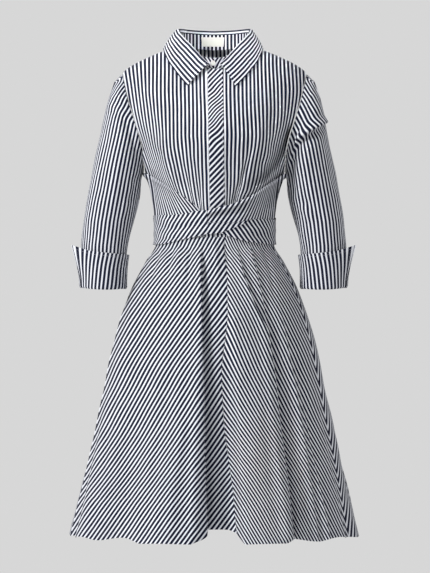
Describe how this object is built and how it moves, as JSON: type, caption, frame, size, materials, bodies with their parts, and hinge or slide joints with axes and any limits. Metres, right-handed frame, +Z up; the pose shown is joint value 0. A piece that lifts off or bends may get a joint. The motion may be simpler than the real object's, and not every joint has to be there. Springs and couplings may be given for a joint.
{
  "type": "shirt dress",
  "caption": "Knee-length striped shirt dress with a pointed collar, hidden placket, turned-back cuffs, a crossed waist wrap and a flared skirt.",
  "frame": {"origin": "between the shoulders, in the middle of the dress, at the level where the shoulders carry it", "axes": "+Z up from the hem to the collar, -Y the front, +X the left side of the dress"},
  "size_m": [0.5832, 0.4651, 1.0155],
  "materials": {
    "striped_cotton": "crisp woven cotton, navy and white stripes",
    "button": "polished off-white resin",
    "label": "bare off-white satin ribbon"
  },
  "bodies": {
    "root": {"bodice_front_left": "striped_cotton", "bodice_front_right": "striped_cotton", "bodice_back": "striped_cotton", "skirt_front_left": "striped_cotton", "skirt_front_right": "striped_cotton", "skirt_back_left": "striped_cotton", "skirt_back_right": "striped_cotton", "collar_stand": "striped_cotton", "collar_fall": "striped_cotton", "placket": "striped_cotton", "wrap_panel_left": "striped_cotton", "wrap_panel_right": "striped_cotton", "waist_wrap_over": "striped_cotton", "waist_wrap_under": "striped_cotton", "waist_wrap_back": "striped_cotton", "sleeve_left": "striped_cotton", "sleeve_right": "striped_cotton", "cuff_left": "striped_cotton", "cuff_right": "striped_cotton", "stand_button": "button", "neck_label": "label"}
  },
  "joints": []
}
